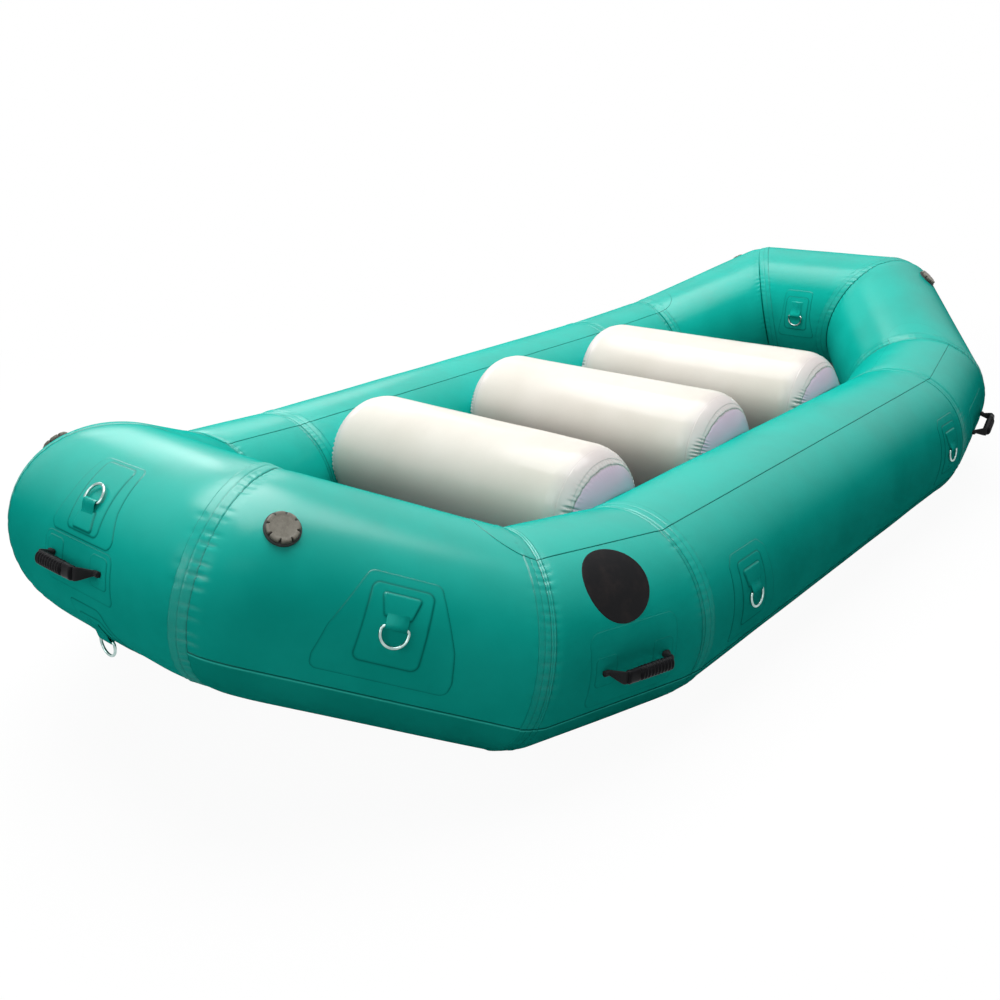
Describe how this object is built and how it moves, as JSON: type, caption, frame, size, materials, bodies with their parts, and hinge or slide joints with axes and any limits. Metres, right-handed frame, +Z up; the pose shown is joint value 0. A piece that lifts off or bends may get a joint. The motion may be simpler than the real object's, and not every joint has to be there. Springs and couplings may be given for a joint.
{
  "type": "whitewater raft",
  "caption": "Self-bailing inflatable river raft: mitred ring of air tubes with raised ends, cross thwarts, quilted floor, lashing rings and carry handles.",
  "frame": {"origin": "on the ground at the middle of the raft's length and width", "axes": "-Y towards the bow, +X towards port, +Z up"},
  "size_m": [1.9808, 4.0574, 0.7675],
  "materials": {
    "tube_fabric": "satin",
    "strip_fabric": "satin",
    "thwart_fabric": "satin",
    "floor_fabric": "satin",
    "inner_fabric": "matte",
    "valve_plastic": "satin",
    "ring_steel": "polished",
    "strap_rubber": "matte"
  },
  "bodies": {
    "hull": {"bow_nose_tube": "tube_fabric", "bow_port_diagonal_tube": "tube_fabric", "bow_port_kick_tube": "tube_fabric", "port_side_tube": "tube_fabric", "stern_port_kick_tube": "tube_fabric", "stern_port_diagonal_tube": "tube_fabric", "stern_nose_tube": "tube_fabric", "stern_starboard_diagonal_tube": "tube_fabric", "stern_starboard_kick_tube": "tube_fabric", "starboard_side_tube": "tube_fabric", "bow_starboard_kick_tube": "tube_fabric", "bow_starboard_diagonal_tube": "tube_fabric", "bow_baffle": "inner_fabric", "stern_baffle": "inner_fabric", "port_baffle": "inner_fabric", "starboard_baffle": "inner_fabric", "port_top_wear_strip": "strip_fabric", "port_bottom_wear_strip": "strip_fabric", "starboard_top_wear_strip": "strip_fabric", "starboard_bottom_wear_strip": "strip_fabric", "bow_thwart": "thwart_fabric", "middle_thwart": "thwart_fabric", "stern_thwart": "thwart_fabric", "floor": "floor_fabric", "bow_port_valve_body": "valve_plastic", "bow_starboard_valve_body": "valve_plastic", "stern_port_valve_body": "valve_plastic", "stern_starboard_valve_body": "valve_plastic", "bow_top_ring_patch": "tube_fabric", "bow_tow_ring_patch": "tube_fabric", "stern_inner_ring_patch": "tube_fabric", "bow_port_ring_patch": "tube_fabric", "port_fore_ring_patch": "tube_fabric", "port_aft_ring_patch": "tube_fabric", "bow_starboard_ring_patch": "tube_fabric", "starboard_fore_ring_patch": "tube_fabric", "starboard_aft_ring_patch": "tube_fabric"},
    "bow_handle_body": {"bow_handle": "strap_rubber"},
    "bow_port_handle_body": {"bow_port_handle": "strap_rubber"},
    "bow_port_ring_body": {"bow_port_ring": "ring_steel"},
    "bow_port_valve_cap_body": {"bow_port_valve_cap": "valve_plastic"},
    "bow_port_valve_plunger_body": {"bow_port_valve_plunger": "valve_plastic"},
    "bow_starboard_handle_body": {"bow_starboard_handle": "strap_rubber"},
    "bow_starboard_ring_body": {"bow_starboard_ring": "ring_steel"},
    "bow_starboard_valve_cap_body": {"bow_starboard_valve_cap": "valve_plastic"},
    "bow_starboard_valve_plunger_body": {"bow_starboard_valve_plunger": "valve_plastic"},
    "bow_top_ring_body": {"bow_top_ring": "ring_steel"},
    "bow_tow_ring_body": {"bow_tow_ring": "ring_steel"},
    "port_aft_ring_body": {"port_aft_ring": "ring_steel"},
    "port_fore_ring_body": {"port_fore_ring": "ring_steel"},
    "starboard_aft_ring_body": {"starboard_aft_ring": "ring_steel"},
    "starboard_fore_ring_body": {"starboard_fore_ring": "ring_steel"},
    "stern_handle_body": {"stern_handle": "strap_rubber"},
    "stern_inner_ring_body": {"stern_inner_ring": "ring_steel"},
    "stern_port_handle_body": {"stern_port_handle": "strap_rubber"},
    "stern_port_valve_cap_body": {"stern_port_valve_cap": "valve_plastic"},
    "stern_port_valve_plunger_body": {"stern_port_valve_plunger": "valve_plastic"},
    "stern_starboard_handle_body": {"stern_starboard_handle": "strap_rubber"},
    "stern_starboard_valve_cap_body": {"stern_starboard_valve_cap": "valve_plastic"},
    "stern_starboard_valve_plunger_body": {"stern_starboard_valve_plunger": "valve_plastic"}
  },
  "joints": [
    {"name": "bow_top_ring_swing", "type": "hinge", "parent": "hull", "child": "bow_top_ring_body", "pos_m": [0, -1.91113, 0.69172], "axis": [1, 0, 0], "range_deg": [0, 150]},
    {"name": "bow_tow_ring_swing", "type": "hinge", "parent": "hull", "child": "bow_tow_ring_body", "pos_m": [0, -1.93153, 0.35815], "axis": [-1, 0, 0], "range_deg": [-25, 110]},
    {"name": "stern_inner_ring_swing", "type": "hinge", "parent": "hull", "child": "stern_inner_ring_body", "pos_m": [0, 1.45646, 0.52173], "axis": [-1, 0, 0], "range_deg": [0, 150]},
    {"name": "bow_port_ring_swing", "type": "hinge", "parent": "hull", "child": "bow_port_ring_body", "pos_m": [0.66059, -1.64173, 0.48367], "axis": [-0.5998, -0.715, 0.3592], "range_deg": [0, 150]},
    {"name": "port_fore_ring_swing", "type": "hinge", "parent": "hull", "child": "port_fore_ring_body", "pos_m": [0.97001, -0.66755, 0.2853], "axis": [0, -1, 0], "range_deg": [0, 150]},
    {"name": "port_aft_ring_swing", "type": "hinge", "parent": "hull", "child": "port_aft_ring_body", "pos_m": [0.97001, 0.75055, 0.2853], "axis": [0, -1, 0], "range_deg": [0, 150]},
    {"name": "bow_starboard_ring_swing", "type": "hinge", "parent": "hull", "child": "bow_starboard_ring_body", "pos_m": [-0.66059, -1.64173, 0.48367], "axis": [-0.5998, 0.715, -0.3592], "range_deg": [0, 150]},
    {"name": "starboard_fore_ring_swing", "type": "hinge", "parent": "hull", "child": "starboard_fore_ring_body", "pos_m": [-0.97001, -0.66755, 0.2853], "axis": [0, 1, 0], "range_deg": [0, 150]},
    {"name": "starboard_aft_ring_swing", "type": "hinge", "parent": "hull", "child": "starboard_aft_ring_body", "pos_m": [-0.97001, 0.75055, 0.2853], "axis": [0, 1, 0], "range_deg": [0, 150]},
    {"name": "bow_handle_lift", "type": "hinge", "parent": "hull", "child": "bow_handle_body", "pos_m": [0, -1.97585, 0.56717], "axis": [-1, 0, 0], "range_deg": [0, 60]},
    {"name": "stern_handle_lift", "type": "hinge", "parent": "hull", "child": "stern_handle_body", "pos_m": [0, 1.97585, 0.56717], "axis": [1, 0, 0], "range_deg": [0, 60]},
    {"name": "bow_port_handle_lift", "type": "hinge", "parent": "hull", "child": "bow_port_handle_body", "pos_m": [0.92527, -1.14758, 0.27303], "axis": [-0.1891, -0.9768, 0.1006], "range_deg": [0, 60]},
    {"name": "bow_starboard_handle_lift", "type": "hinge", "parent": "hull", "child": "bow_starboard_handle_body", "pos_m": [-0.92527, -1.14758, 0.27303], "axis": [-0.1891, 0.9768, -0.1006], "range_deg": [0, 60]},
    {"name": "stern_port_handle_lift", "type": "hinge", "parent": "hull", "child": "stern_port_handle_body", "pos_m": [0.92527, 1.14758, 0.27303], "axis": [0.1891, -0.9768, -0.1006], "range_deg": [0, 60]},
    {"name": "stern_starboard_handle_lift", "type": "hinge", "parent": "hull", "child": "stern_starboard_handle_body", "pos_m": [-0.92527, 1.14758, 0.27303], "axis": [0.1891, 0.9768, 0.1006], "range_deg": [0, 60]},
    {"name": "bow_port_valve_cap_turn", "type": "hinge", "parent": "hull", "child": "bow_port_valve_cap_body", "pos_m": [0.45669, -1.74763, 0.68767], "axis": [0.6616, -0.1906, 0.7253], "range_deg": [0, 90]},
    {"name": "bow_starboard_valve_cap_turn", "type": "hinge", "parent": "hull", "child": "bow_starboard_valve_cap_body", "pos_m": [-0.45669, -1.74763, 0.68767], "axis": [-0.6616, -0.1906, 0.7253], "range_deg": [0, 90]},
    {"name": "stern_port_valve_cap_turn", "type": "hinge", "parent": "hull", "child": "stern_port_valve_cap_body", "pos_m": [0.45669, 1.74763, 0.68767], "axis": [0.6616, 0.1906, 0.7253], "range_deg": [0, 90]},
    {"name": "stern_starboard_valve_cap_turn", "type": "hinge", "parent": "hull", "child": "stern_starboard_valve_cap_body", "pos_m": [-0.45669, 1.74763, 0.68767], "axis": [-0.6616, 0.1906, 0.7253], "range_deg": [0, 90]},
    {"name": "bow_port_valve_plunger_press", "type": "slide", "parent": "hull", "child": "bow_port_valve_plunger_body", "axis": [-0.6616, 0.1906, -0.7253], "range_m": [0, 0.006], "stiffness_N_per_m": 300, "springref_m": -0.004},
    {"name": "bow_starboard_valve_plunger_press", "type": "slide", "parent": "hull", "child": "bow_starboard_valve_plunger_body", "axis": [0.6616, 0.1906, -0.7253], "range_m": [0, 0.006], "stiffness_N_per_m": 300, "springref_m": -0.004},
    {"name": "stern_port_valve_plunger_press", "type": "slide", "parent": "hull", "child": "stern_port_valve_plunger_body", "axis": [-0.6616, -0.1906, -0.7253], "range_m": [0, 0.006], "stiffness_N_per_m": 300, "springref_m": -0.004},
    {"name": "stern_starboard_valve_plunger_press", "type": "slide", "parent": "hull", "child": "stern_starboard_valve_plunger_body", "axis": [0.6616, -0.1906, -0.7253], "range_m": [0, 0.006], "stiffness_N_per_m": 300, "springref_m": -0.004}
  ]
}
